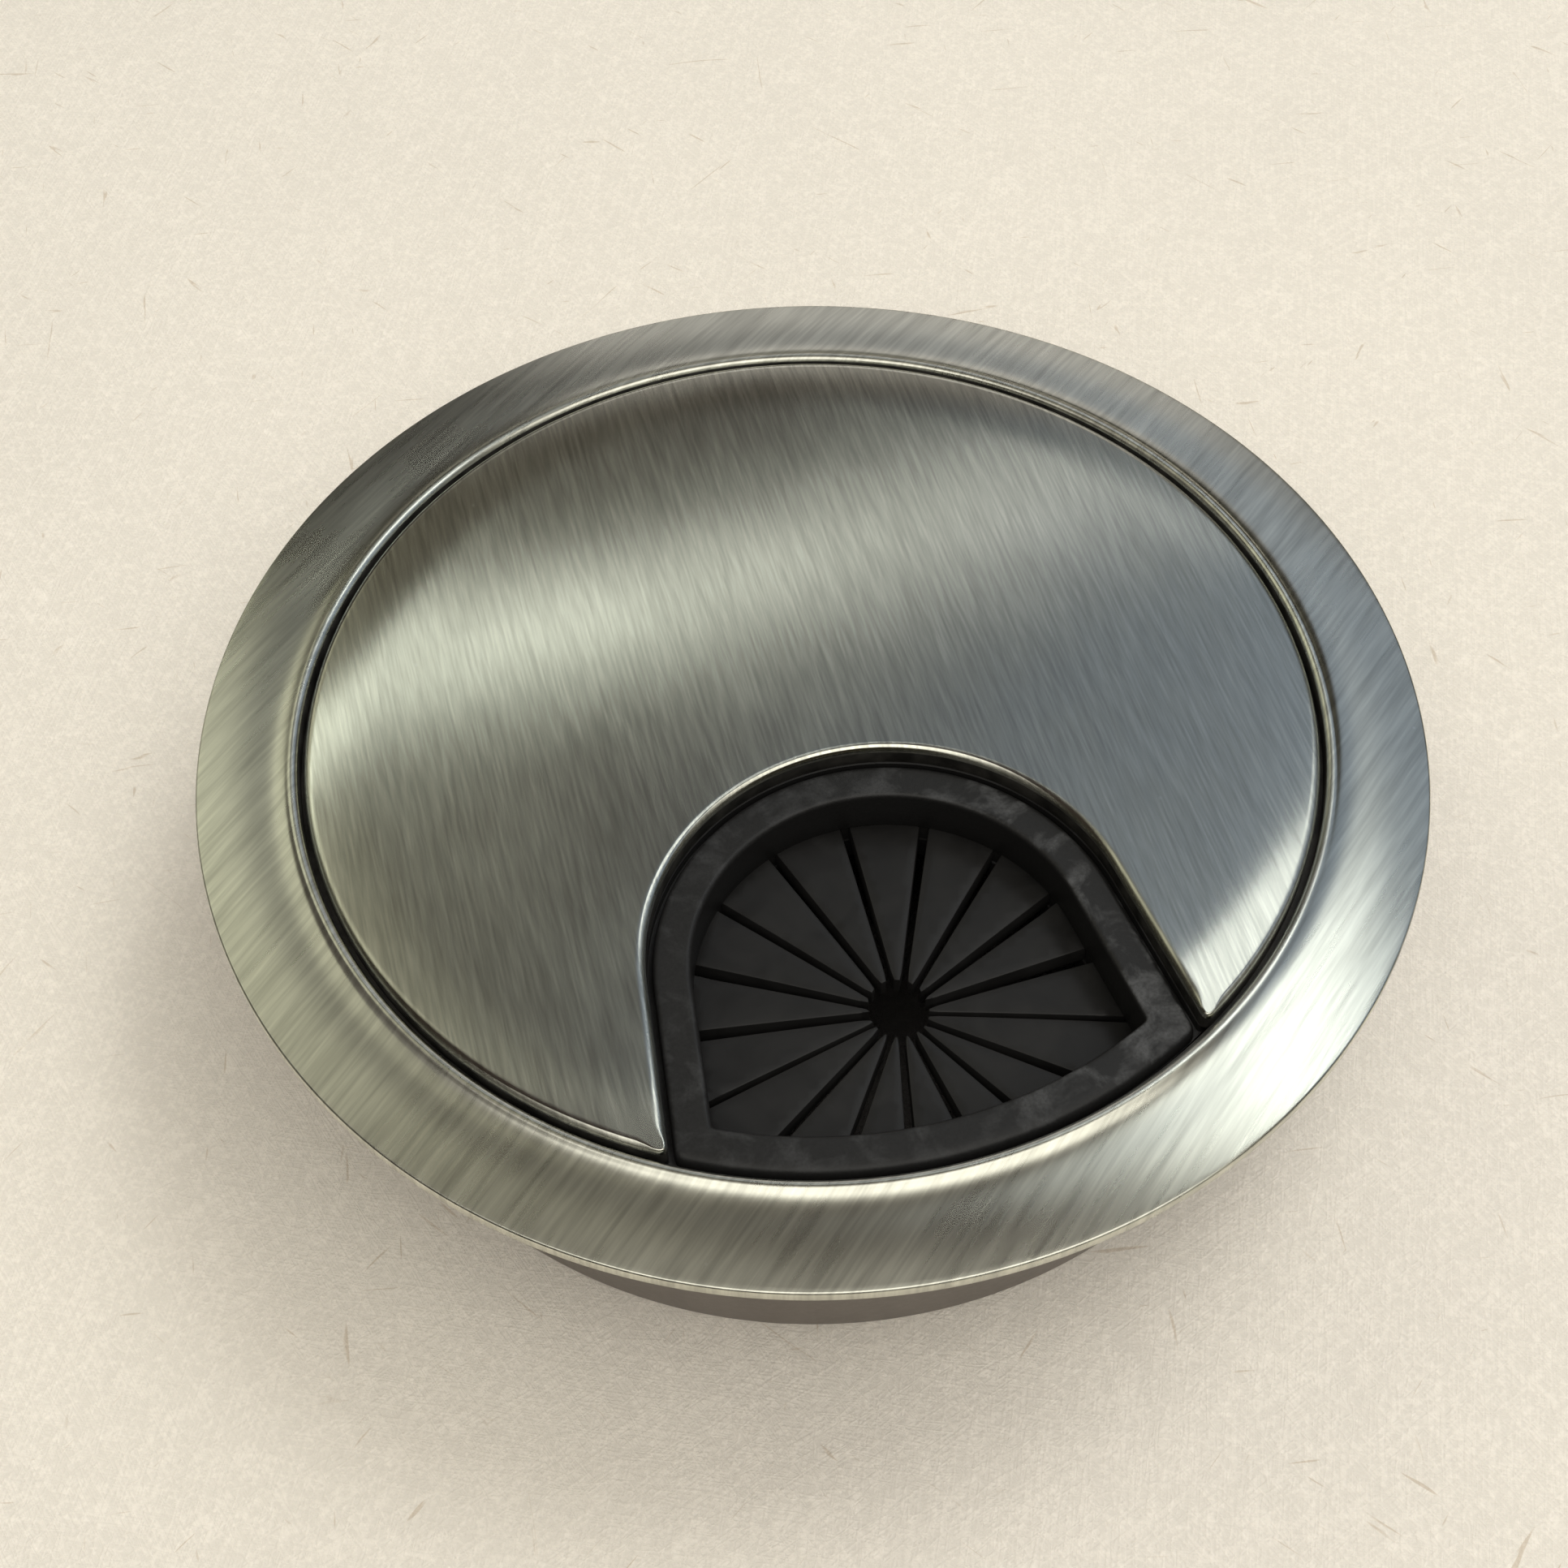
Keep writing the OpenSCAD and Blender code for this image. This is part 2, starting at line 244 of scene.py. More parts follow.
class Shell:
    """Vertices and faces gathered from several closed forms."""

    def __init__(self):
        self.points = []
        self.faces = []

    def add(self, points, faces):
        base = len(self.points)
        self.points += [tuple(p) for p in points]
        self.faces += [tuple(base + i for i in f) for f in faces]

    def slab(self, outer, holes, section, grid=0, mould=None):
        """A plate. section runs from its underside up to its top as pairs of inset and level.
        mould moves each finished point."""
        points, faces, rims = [], [], []
        for loop, sign in [(outer, 1)] + [(h, -1) for h in holes]:
            n = len(loop)
            start = len(points)
            deepest = max(depth for depth, _ in section) or 1
            moves = inset_moves(loop, sign * deepest)
            for depth, level in section:
                points += [(x, y, level) for x, y in loop + moves * (depth / deepest)]
            for k in range(len(section) - 1):
                for i in range(n):
                    quad = (start + k * n + i, start + k * n + (i + 1) % n,
                            start + (k + 1) * n + (i + 1) % n, start + (k + 1) * n + i)
                    faces.append(quad if sign == 1 else quad[::-1])
            rims.append((start, start + (len(section) - 1) * n, n))
        for which, flip in ((0, True), (1, False)):
            self._cover(points, faces, rims, which, flip, grid if which else 0)
        if mould:
            points = [mould(*p) for p in points]
        self.add(points, faces)

    @staticmethod
    def _cover(points, faces, rims, which, flip, grid):
        """Fills the flat face between the rims with triangles, over a grid of points if asked."""
        index, loops, edges = [], [], []
        for rim in rims:
            first, n = rim[which], rim[2]
            base = len(index)
            index += range(first, first + n)
            edges += [(base + i, base + (i + 1) % n) for i in range(n)]
            # Vectors hold single precision, so that inside() has to see the outline in it too
            loops.append(np.float32([points[j][:2] for j in range(first, first + n)]).astype(float))
        level = points[rims[0][which]][2]
        flat = np.concatenate(loops)
        if grid:
            low, high = flat.min(0), flat.max(0)
            xs = np.arange(low[0], high[0], grid)
            ys = np.arange(low[1], high[1], grid)
            spots = np.array([(x + (grid / 2 if j % 2 else 0), y) for j, y in enumerate(ys) for x in xs])
            keep = inside(spots, loops[0])
            for loop in loops[1:]:
                keep &= ~inside(spots, loop)
            spots = spots[keep]
            near = np.array([min(distance_to(loop, spot) for loop in loops) for spot in spots])
            spots = spots[near > grid * 0.5]
            index += range(len(points), len(points) + len(spots))
            points += [(x, y, level) for x, y in spots]
            flat = np.concatenate([flat, spots])
        found = delaunay_2d_cdt([Vector(p) for p in flat], edges, [], 0, 1e-9)
        origin = [ids[0] for ids in found[3]]
        middles = np.array([np.mean([flat[origin[i]] for i in f], 0) for f in found[2]])
        keep = inside(middles, loops[0])
        for loop in loops[1:]:
            keep &= ~inside(middles, loop)
        for f, wanted in zip(found[2], keep):
            if wanted:
                corners = tuple(index[origin[i]] for i in f)
                faces.append(corners[::-1] if flip else corners)

    def lathe(self, profile, centre=Vector((0, 0)), segments=256):
        """Turns a closed profile of radius and level, counter-clockwise with the axis on its left."""
        n = len(profile)
        points, faces = [], []
        for s in range(segments):
            a = math.tau * s / segments
            points += [(centre[0] + r * math.cos(a), centre[1] + r * math.sin(a), z) for r, z in profile]
        for s in range(segments):
            t = (s + 1) % segments
            for i in range(n):
                j = (i + 1) % n
                faces.append((s * n + i, t * n + i, t * n + j, s * n + j))
        self.add(points, faces)

    def piece(self, name, body, materials, choose=None, brush=0.0, sharp=40):
        """Makes the object. choose gives a face's material from its middle and normal."""
        mesh = bpy.data.meshes.new(name)
        mesh.from_pydata(self.points, [], self.faces)
        mesh.validate()
        mesh.update()
        for m in materials:
            mesh.materials.append(m)
        if choose:
            for polygon in mesh.polygons:
                polygon.material_index = choose(polygon.center, polygon.normal)
        mesh.shade_smooth()
        mesh.set_sharp_from_angle(angle=math.radians(sharp))
        lay_tangents(mesh, brush)
        obj = bpy.data.objects.new(name, mesh)
        bpy.context.scene.collection.objects.link(obj)
        if body:
            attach(obj, body)
        return obj


def lay_tangents(mesh, brush):
    """UV map whose U axis runs across the brushing, so that reflections spread that way."""
    across = Vector((math.cos(brush), math.sin(brush)))
    along = Vector((-across.y, across.x))
    layer = mesh.uv_layers.new(name="brushing")
    span = 70 * MM
    for corner in mesh.loops:
        p = mesh.vertices[corner.vertex_index].co
        flat = Vector((p.x, p.y))
        layer.data[corner.index].uv = (flat.dot(across) / span + 0.5, flat.dot(along) / span + 0.5)


def rolled(low, high, ease, roll, steps=6):
    """Section of a plate's edge from low to high: eased below, rolled over above."""
    section = [(ease, low), (ease * 0.3, low + ease * 0.3), (0, low + ease)]
    for k in range(steps + 1):
        a = math.pi / 2 * k / steps
        section.append((roll * (1 - math.cos(a)), high - roll + roll * math.sin(a)))
    return section


def bend(centre, r, a0, a1, steps):
    """Arc of a lathed profile, in degrees."""
    return [(centre[0] + r * math.cos(math.radians(a0 + (a1 - a0) * k / steps)),
             centre[1] + r * math.sin(math.radians(a0 + (a1 - a0) * k / steps))) for k in range(steps + 1)]


# ---- Metal pieces --------------------------------------------------------------------------------

def ring_shell(metal, shaded_casting, shade_in_gaps):
    """Die-cast ring: sloping flange, rounded bead, well for the cap, ledge and sleeve."""
    ease, foot, fillet = 0.16 * MM, 0.3 * MM, 0.35 * MM
    bead = (well_r + bead_r, bead_z - bead_r)
    profile = [(bore_r + foot, 0), (sleeve_r - foot, 0), (sleeve_r, foot)]
    profile += bend((sleeve_r + fillet, flange_under_z - fillet), fillet, 180, 90, 5)
    profile += bend((flange_r - ease, flange_under_z + ease), ease, -90, 0, 4)
    profile += bend((flange_r - ease, edge_top_z - ease), ease, 0, 84, 5)
    profile += flange_face(bead)
    profile += bend(bead, bead_r, BEAD_FOOT, 180, 12)
    profile += [(well_r, well_floor_z), (seat_r, well_floor_z), (seat_r, ledge_z), (bore_r, ledge_z)]
    profile.append((bore_r, foot))
    shell = Shell()
    shell.lathe(profile, segments=360)

    def part(centre, normal):
        # Faces under the flange get the darkened casting, painted shade on the sleeve and the bore.
        if centre.z < flange_under_z + 0.1 * MM:
            return 1
        # Faces inside the cap's well get painted shade, the dark gap colour.
        return 2 if centre.xy.length < well_r + 0.02 * MM else 0

    ring = shell.piece("ring_shell", "ring", [metal, shaded_casting, shade_in_gaps], part, brush=RING_BRUSH, sharp=50)
    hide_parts("outer_ring")
    return ring


def flange_face(bead):
    """Gentle slope from the flange's edge inwards, which sweeps up to meet the bead."""
    outer = flange_r - 0.16 * MM
    inner = bead[0] + bead_r * math.cos(math.radians(BEAD_FOOT))
    rise = 0.36 * MM
    lift = bead[1] + bead_r * math.sin(math.radians(BEAD_FOOT)) - edge_top_z - rise
    reach = lift * math.tan(math.radians(BEAD_FOOT))
    face = []
    for k in range(1, 48):
        t = (k / 48) ** 0.8
        r = outer + (inner - outer) * t
        slope = rise * t + 0.12 * MM * math.sin(math.pi * t)
        face.append((r, edge_top_z + slope + lift * math.exp((inner - r) / reach)))
    return face


def cap_top(metal, shade_in_gaps):
    """Brushed cap plate with rolled edges, its rim curled down, and the bosses under it."""
    roll = 0.45 * MM
    flat_until = cap_r - 4 * MM

    def curl(x, y, z):
        t = max(0, math.hypot(x, y) - flat_until) / (cap_r - flat_until)
        return x, y, z - 0.17 * MM * t ** 2 if z > cap_under_z + 0.4 * MM else z

    section = rolled(cap_under_z, top_z, 0.1 * MM, roll) + [(roll + 0.12 * MM, top_z)]
    shell = Shell()
    shell.slab(notched_loop(notch_r, cap_r, 0.7 * MM), [], section, grid=0.7 * MM, mould=curl)
    for place in cap_screw_places:
        boss = [(0.9, 15.0), (3.2, 15.0), (3.4, 15.2), (3.4, 16.35), (0.9, 16.35)]
        shell.lathe([(r * MM, z * MM) for r, z in boss], place, segments=48)
    # The cap's sides below its rolled edge get painted shade, the dark gap colour.
    cap = shell.piece("cap_top", "cap", [metal, shade_in_gaps],
                      lambda centre, normal: 1 if centre.z < top_z - roll and abs(normal.z) < 0.9 else 0)
    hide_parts("cap_plate")
    return cap


# ---- Plastic pieces ------------------------------------------------------------------------------

def port_frame(plastic):
    """Frame around the cable port, from its face down to the rubber, with a rounded bar."""
    roll, bar_round = 0.3 * MM, 0.7 * MM
    section = rolled(flap_top_z, frame_z, 0.05 * MM, roll) + [(roll + 0.1 * MM, frame_z)]
    section[3:3] = [(0, carrier_under_z - 0.01 * MM), (0, carrier_under_z)]

    def shape(x, y, z):
        r = math.hypot(x, y)
        if z < carrier_under_z and r > skirt_r:
            return x * skirt_r / r, y * skirt_r / r, z
        over = r - (carrier_r - bar_round)
        if z > frame_z - bar_round and over > 0:
            z -= bar_round - math.sqrt(max(0, bar_round ** 2 - min(over, bar_round) ** 2))
        return x, y, z

    shell = Shell()
    shell.slab(arch_loop(frame_outer_r, carrier_r, 0.5 * MM), [arch_loop(port_r, bar_r, 0.2 * MM)],
               section, grid=0.3 * MM, mould=shape)
    piece = shell.piece("port_frame", "cap", [plastic])
    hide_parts("cap_carrier")
    return piece


def carrier_disc(plastic):
    """Carrier under the cap plate: disc, groove around the port, skirt, ribs and screw bosses."""
    groove_z = cap_under_z - 0.7 * MM
    boss_holes = [circle_loop(3.5 * MM, place) for place in cap_screw_places]
    shell = Shell()
    lower = [(0.15 * MM, carrier_under_z), (0, carrier_under_z + 0.15 * MM), (0, groove_z)]
    shell.slab(circle_loop(carrier_r), [arch_loop(frame_outer_r - 0.3 * MM, bar_r + 0.3 * MM, 0.3 * MM)]
               + boss_holes, lower)
    upper = [(0, groove_z - 0.01 * MM), (0, cap_under_z - 0.1 * MM), (0.1 * MM, cap_under_z)]
    shell.slab(notched_loop(notch_r, carrier_r, 0.4 * MM), boss_holes, upper)
    shell.slab(skirt_loop(), [], [(0.25 * MM, skirt_foot_z), (0.06 * MM, skirt_foot_z + 0.08 * MM),
                                  (0, skirt_foot_z + 0.25 * MM), (0, carrier_under_z + 0.1 * MM)])
    rib_z = carrier_under_z - 1.4 * MM
    for rib in [hub_loop()] + rib_loops():
        shell.slab(rib, [], [(0.15 * MM, rib_z), (0, rib_z + 0.15 * MM), (0, carrier_under_z + 0.1 * MM)])
    for place in ear_places:
        post = [(0.8 * MM, flap_under_z), (1.65 * MM, flap_under_z),
                (1.65 * MM, carrier_under_z + 0.1 * MM), (0.8 * MM, carrier_under_z + 0.1 * MM)]
        shell.lathe(post, place, segments=32)
    piece = shell.piece("carrier_disc", "cap", [plastic])
    return piece


def skirt_loop():
    """Plan of the skirt: a ring of wall, open where the port's rubber and retainer sit."""
    outer, inner = (side(frame_outer_r + 0.15 * MM, r)[1] for r in (skirt_r, bar_r))
    a, b = angle_of(outer), angle_of(inner)
    return closed([arc(skirt_r, a, math.pi - a), line(mirrored(outer), mirrored(inner)),
                   arc(bar_r, math.pi - b, b), line(inner, outer)], [0.2 * MM] * 4)


def hub_loop():
    """Plan of the ring of rib in the middle, open where the port's frame passes."""
    a = math.radians(-47)
    outer, inner = 6 * MM, 5 * MM
    return closed([arc(outer, a, math.pi - a), line(polar(outer, math.pi - a), polar(inner, math.pi - a)),
                   arc(inner, math.pi - a, a), line(polar(inner, a), polar(outer, a))], [0.4 * MM] * 4)


def rib_loops():
    """Plans of the ribs that run from the hub to the skirt, broken off beside the cap's screws."""
    half, clear = 0.5 * MM, 3.0 * MM
    loops = []
    for k in range(7):
        a = math.radians(-12 + 34 * k)
        along = Vector((math.cos(a), math.sin(a)))
        across = Vector((-along.y, along.x))
        spans = [(5.8 * MM, bar_r + 0.3 * MM)]
        for place in cap_screw_places:
            beside, at = abs(place.dot(across)), place.dot(along)
            if beside < clear + half and at > 0:
                cut = math.sqrt(clear ** 2 - max(0, beside - half) ** 2)
                spans = [(spans[0][0], at - cut), (at + cut, spans[-1][1])]
        for start, end in spans:
            if end - start < 1.2 * MM:
                continue
            corners = [along * start - across * half, along * end - across * half,
                       along * end + across * half, along * start + across * half]
            loops.append(closed([line(corners[i], corners[(i + 1) % 4]) for i in range(4)], [0.2 * MM] * 4))
    return loops


# ---- Rubber pieces -------------------------------------------------------------------------------

def slit_angle(i):
    return math.pi / 2 + slit_turn - i * slit_pitch


def to_circle(centre, r, a):
    """Distance from the hole, in direction a, to the circle of radius r about centre."""
    d = centre - hole_centre
    b = d.dot(Vector((math.cos(a), math.sin(a))))
    return b + math.sqrt(b * b - d.length_squared + r * r)


def to_wall(a):
    """Distance from the hole, in direction a, to the port's wall."""
    way = Vector((math.cos(a), math.sin(a)))
    reach = to_circle(arch_centre, port_r, a)
    if (hole_centre + way * reach).y < side(port_r, bar_r)[0].y:
        normal = Vector((math.copysign(math.cos(flare), way.x), math.sin(flare)))
        rate = way.dot(normal)
        reach = (port_r - (hole_centre - arch_centre).dot(normal)) / rate if rate > 0.01 else 1
    return min(to_circle(Vector((0, 0)), bar_r, a), reach)


def slit_gap(i):
    """Half the width of slit i near the hole and at the wall."""
    width = OPEN_SLITS.get(i % FLAPS, 1)
    return 0.17 * MM * min(width, 1.25), 0.265 * MM * width


def tip_reach(a):
    """Distance from the hole's centre to the flap tips in direction a: the far ones are cut shorter."""
    return hole_r + 0.1 * MM + 0.5 * MM * max(0, math.sin(a))


def flap_loop(i):
    """Plan of flap i, between slits i and i - 1, with a blunt chamfered tip."""
    edges = []
    for slit, sign in ((i, 1), (i - 1, -1)):
        a = slit_angle(slit)
        along, across = Vector((math.cos(a), math.sin(a))), Vector((-math.sin(a), math.cos(a)))
        near, far = slit_gap(slit)
        meets = a
        for _ in range(4):
            meets = a + sign * math.asin(far / (to_wall(meets) + 0.1 * MM))
        reach = tip_reach(a)
        tip = hole_centre + along * reach + across * sign * (near + 0.05 * MM)
        shoulder = hole_centre + along * (reach + 0.5 * MM) + across * sign * near
        edges.append((tip, shoulder, meets))
    (tip_a, shoulder_a, a0), (tip_b, shoulder_b, a1) = edges
    count = 16
    wall = [polar(to_wall(a) + 0.1 * MM, a, hole_centre) for a in
            (a0 + (a1 - a0) * k / count for k in range(count + 1))]
    root_a, root_b = wall[0], wall[-1]
    step = 0.4 * MM
    return closed([line(tip_b, tip_a, step), line(tip_a, shoulder_a, step), line(shoulder_a, root_a, step),
                   wall, line(root_b, shoulder_b, step), line(shoulder_b, tip_b, step)],
                  [0, 0.15 * MM, 0, 0, 0.15 * MM, 0])


def rubber_flaps(rubber):
    """The flaps between the slits, each drooping a little from the wall towards its tip."""
    random.seed(17)
    droop = [random.uniform(0.02, 0.22) * MM for _ in range(FLAPS)]
    joints = {j["child"]: j for j in frame["joints"]}
    flap_length = 9 * MM
    for i in range(1, FLAPS + 1):
        body = f"flap_{i:02d}"
        joint = joints[body]
        hinge, axis = Vector(joint["pos_m"]), Vector(joint["axis"])
        inward = Vector((-axis.y, axis.x, 0))
        if inward.dot(hole_centre.to_3d() - hinge) < 0:
            inward.negate()

        def sag(x, y, z, drop=droop[i - 1], hinge=hinge, inward=inward):
            t = (Vector((x, y, hinge.z)) - hinge).dot(inward) / flap_length
            return x, y, z - drop * max(0, t) ** 2

        shell = Shell()
        section = [(0.08 * MM, flap_under_z), (0, flap_under_z + 0.08 * MM), (0, flap_top_z - 0.1 * MM),
                   (0.03 * MM, flap_top_z - 0.03 * MM), (0.1 * MM, flap_top_z)]
        shell.slab(flap_loop(i), [], section, grid=0.45 * MM, mould=sag)
        piece = shell.piece(f"rubber_{body}", None, [rubber])
        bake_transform(piece)
        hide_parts(body)


def rubber_rim(rubber):
    """Band of the rubber moulding that the frame and the retainer clamp."""
    shell = Shell()
    section = [(0.05 * MM, flap_under_z), (0, flap_under_z + 0.05 * MM),
               (0, flap_top_z - 0.05 * MM), (0.05 * MM, flap_top_z)]
    shell.slab(arch_loop(frame_outer_r - 0.25 * MM, skirt_r - 0.2 * MM, 0.4 * MM),
               [arch_loop(port_r + 0.12 * MM, bar_r + 0.12 * MM, 0.3 * MM)], section)
    piece = shell.piece("rubber_rim", "cap", [rubber])
    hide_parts("diaphragm_rim")
    return piece


# ---- Materials -----------------------------------------------------------------------------------

class Finish:
    """One procedural material, with short calls for the nodes that these finishes share."""

    def __init__(self, name, **constants):
        self.material = bpy.data.materials.new(name)
        self.material.use_nodes = True
        self.tree = self.material.node_tree
        self.shader = self.tree.nodes["Principled BSDF"]
        for socket, value in constants.items():
            self.shader.inputs[socket.replace("_", " ")].default_value = value

    def node(self, kind, inputs=(), **settings):
        made = self.tree.nodes.new("ShaderNode" + kind)
        for name, value in settings.items():
            setattr(made, name, value)
        for socket, value in dict(inputs).items():
            if isinstance(value, bpy.types.NodeSocket):
                self.tree.links.new(value, made.inputs[socket])
            else:
                made.inputs[socket].default_value = value
        return made

    def coordinates(self, scale, turn=0.0, shift=(0, 0, 0)):
        """Object coordinates in units of scale, given in metres as one number or three."""
        sizes = scale if isinstance(scale, tuple) else (scale,) * 3
        place = self.node("TexCoord").outputs["Object"]
        turned = self.node("VectorRotate", {"Vector": place, "Angle": -turn}, rotation_type="Z_AXIS")
        return self.node("Mapping", {"Vector": turned.outputs[0], "Scale": tuple(1 / s for s in sizes),
                                     "Location": shift}).outputs[0]

    def noise(self, coordinates, detail=2.0, rough=0.5, distortion=0.0):
        return self.node("TexNoise", {"Vector": coordinates, "Scale": 1.0, "Detail": detail,
                                      "Roughness": rough, "Distortion": distortion}).outputs["Fac"]

    def spread(self, value, low, high, to_low=0.0, to_high=1.0):
        return self.node("MapRange", {0: value, 1: low, 2: high, 3: to_low, 4: to_high}).outputs[0]

    def sum(self, a, b):
        return self.node("Math", {0: a, 1: b}, operation="ADD").outputs[0]

    def product(self, a, b):
        return self.node("Math", {0: a, 1: b}, operation="MULTIPLY").outputs[0]

    def blend(self, factor, a, b):
        return self.node("Mix", {0: factor, 6: a, 7: b}, data_type="RGBA").outputs[2]

    def shade(self, colour, factor):
        """The colour made brighter or darker by a factor that varies over the surface."""
        scaled = self.node("VectorMath", {0: colour[:3], 3: factor}, operation="SCALE")
        return scaled.outputs[0]

    def bump(self, height, strength, distance):
        return self.node("Bump", {"Height": height, "Strength": strength, "Distance": distance}).outputs[0]

    def finish(self, **links):
        for socket, value in links.items():
            self.tree.links.new(value, self.shader.inputs[socket.replace("_", " ")])
        return self.material


def grey(value, warm=0.0):
    return (value * (1 + warm), value, value * (1 - warm), 1)


def brushed_nickel(name, colour, brush, roughness, stretch, streak, mottle, seed):
    """Nickel brushed in one direction: fine streaks, wider bands, short scratches and specks."""
    m = Finish(name, Metallic=1.0, Anisotropic=stretch)
    fine = m.noise(m.coordinates((streak, streak * 20, streak * 20), brush, (seed, 0, 0)), 2, 0.5)
    strokes = m.noise(m.coordinates((streak * 2.2, streak * 25, 8 * MM), brush, (seed, 5, 0)), 2, 0.5)
    bands = m.noise(m.coordinates((streak * 6, 9 * MM, 9 * MM), brush, (seed, 3, 0)), 3, 0.6)
    clouds = m.noise(m.coordinates(9 * MM, shift=(seed, seed, 0)), 2, 0.5)
    marks = 0
    for k, turn in enumerate((0.55, 1.25, 2.4)):
        place = m.coordinates((4 * MM, 0.15 * MM, 4 * MM), turn, (seed + k, k * 7, 0))
        marks = m.sum(m.spread(m.noise(place, 1, 0.4, 0.15), 0.83, 0.88), marks)
    marks = m.product(marks, m.spread(m.noise(m.coordinates(7 * MM, shift=(1, seed, 5)), 1), 0.50, 0.62))
    dots = m.node("TexVoronoi", {"Vector": m.coordinates(2.6 * MM, shift=(seed, 1, 0)), "Scale": 1.0})
    specks = m.product(m.spread(dots.outputs["Distance"], 0.05, 0.02),
                       m.spread(m.noise(m.coordinates(8 * MM, shift=(seed, 4, 1)), 1), 0.54, 0.58))
    marks = m.node("Math", {0: marks, 1: specks}, operation="MAXIMUM").outputs[0]
    tone = m.sum(m.spread(fine, 0.3, 0.7, 0.86, 1.14), m.spread(strokes, 0.3, 0.7, -mottle, mottle))
    tone = m.sum(tone, m.spread(bands, 0.3, 0.7, -mottle, mottle))
    base = m.blend(m.product(marks, 0.45), m.shade(colour, tone), (0.86, 0.86, 0.82, 1))
    rough = m.sum(m.spread(strokes, 0.3, 0.7, roughness - 0.01, roughness + 0.01),
                  m.spread(clouds, 0.3, 0.7, -0.01, 0.02))
    rough = m.sum(rough, m.product(marks, 0.03))
    tangent = m.node("Tangent", direction_type="UV_MAP", uv_map="brushing").outputs[0]
    return m.finish(Base_Color=base, Roughness=rough, Tangent=tangent,
                    Normal=m.bump(fine, 0.06, 0.0015 * MM))


def shaded_cast_metal():
    """Plain plated casting of the sleeve, the ledge and the flange's underside. Its colour is painted
    shade: a darkened copy of the nickel, so that the sleeve and the bore look shadowed.
    """
    m = Finish("shaded_cast_metal", Metallic=1.0)
    fine = m.noise(m.coordinates((0.5 * MM, 0.5 * MM, 0.3 * MM)), 4, 0.6)
    clouds = m.noise(m.coordinates(6 * MM), 3, 0.5)
    # Painted shade: the casting's colour is a darkened copy of the nickel
    base = m.blend(m.spread(clouds, 0.3, 0.7), (0.32, 0.295, 0.28, 1), (0.37, 0.345, 0.33, 1))
    return m.finish(Base_Color=base, Roughness=m.spread(fine, 0.3, 0.7, 0.36, 0.46),
                    Normal=m.bump(fine, 0.25, 0.01 * MM))


def painted_gap_shade():
    """Painted shade: near-black metal on the walls of the narrow gaps between the cap, the ring and the
    port frame, where shade falls.
    """
    m = Finish("painted_gap_shade", Metallic=0.6)
    clouds = m.noise(m.coordinates(1.5 * MM), 3, 0.6)
    base = m.blend(m.spread(clouds, 0.35, 0.65), (0.030, 0.029, 0.026, 1), (0.075, 0.072, 0.064, 1))
    return m.finish(Base_Color=base, Roughness=m.spread(clouds, 0.3, 0.7, 0.5, 0.7),
                    Normal=m.bump(clouds, 0.2, 0.02 * MM))


def black_plastic():
    """Matte moulded plastic with a fine grain, worn lighter in places and dusty at the right."""
    m = Finish("black_plastic", Specular_IOR_Level=0.32)
    grain = m.noise(m.coordinates(0.18 * MM), 3, 0.6)
    clouds = m.noise(m.coordinates(2.2 * MM, shift=(4, 1, 0)), 4, 0.6, 0.5)
    place = m.node("SeparateXYZ", {0: m.node("TexCoord").outputs["Object"]})
    facing = m.node("SeparateXYZ", {0: m.node("NewGeometry").outputs["Normal"]})
    right = m.spread(place.outputs["X"], 1 * MM, 11 * MM, 0.3, 1.0)
    right = m.product(right, m.spread(facing.outputs["Z"], 0.6, 0.9))
    dust = m.product(m.spread(clouds, 0.47, 0.66), right)
    dust = m.product(dust, m.spread(grain, 0.3, 0.6, 0.5, 1.0))
    clean = m.shade(grey(0.012, 0.02), m.spread(grain, 0.3, 0.7, 0.85, 1.15))
    base = m.blend(dust, clean, grey(0.075, -0.02))
    rough = m.sum(m.spread(grain, 0.3, 0.7, 0.44, 0.52), m.product(dust, 0.25))
    return m.finish(Base_Color=base, Roughness=rough, Normal=m.bump(grain, 0.35, 0.02 * MM))


def black_rubber():
    """Smooth rubber with a faint swirl in its sheen."""
    m = Finish("black_rubber", Specular_IOR_Level=0.26)
    grain = m.noise(m.coordinates(0.12 * MM), 2, 0.6)
    swirl = m.noise(m.coordinates(4 * MM, shift=(2, 7, 0)), 3, 0.5, 1.8)
    base = m.shade(grey(0.012, 0.03), m.spread(swirl, 0.3, 0.7, 0.85, 1.2))
    return m.finish(Base_Color=base, Roughness=m.spread(swirl, 0.3, 0.7, 0.40, 0.54),
                    Normal=m.bump(grain, 0.2, 0.01 * MM))


def glide_plastic():
    """Milky slippery plastic with faint turning marks."""
    m = Finish("glide_plastic", Subsurface_Weight=0.15)
    m.shader.inputs["Subsurface Radius"].default_value = (0.3 * MM, 0.3 * MM, 0.25 * MM)
    clouds = m.noise(m.coordinates(1.5 * MM), 3, 0.5)
    fine = m.noise(m.coordinates((0.3 * MM, 0.3 * MM, 0.1 * MM)), 2)
    base = m.blend(m.spread(clouds, 0.3, 0.7), (0.66, 0.65, 0.60, 1), (0.78, 0.77, 0.73, 1))
    return m.finish(Base_Color=base, Roughness=m.spread(fine, 0.3, 0.7, 0.38, 0.5),
                    Normal=m.bump(fine, 0.2, 0.01 * MM))


def plated_screw():
    """Zinc-plated steel with fine turning marks and a little dirt."""
    m = Finish("plated_screw", Metallic=1.0)
    fine = m.noise(m.coordinates((0.25 * MM, 0.25 * MM, 0.05 * MM)), 3, 0.6)
    clouds = m.noise(m.coordinates(1.2 * MM), 3, 0.6)
    base = m.blend(m.spread(clouds, 0.35, 0.65), (0.55, 0.55, 0.53, 1), (0.72, 0.72, 0.70, 1))
    return m.finish(Base_Color=base, Roughness=m.spread(fine, 0.3, 0.7, 0.25, 0.42),
                    Normal=m.bump(fine, 0.3, 0.01 * MM))


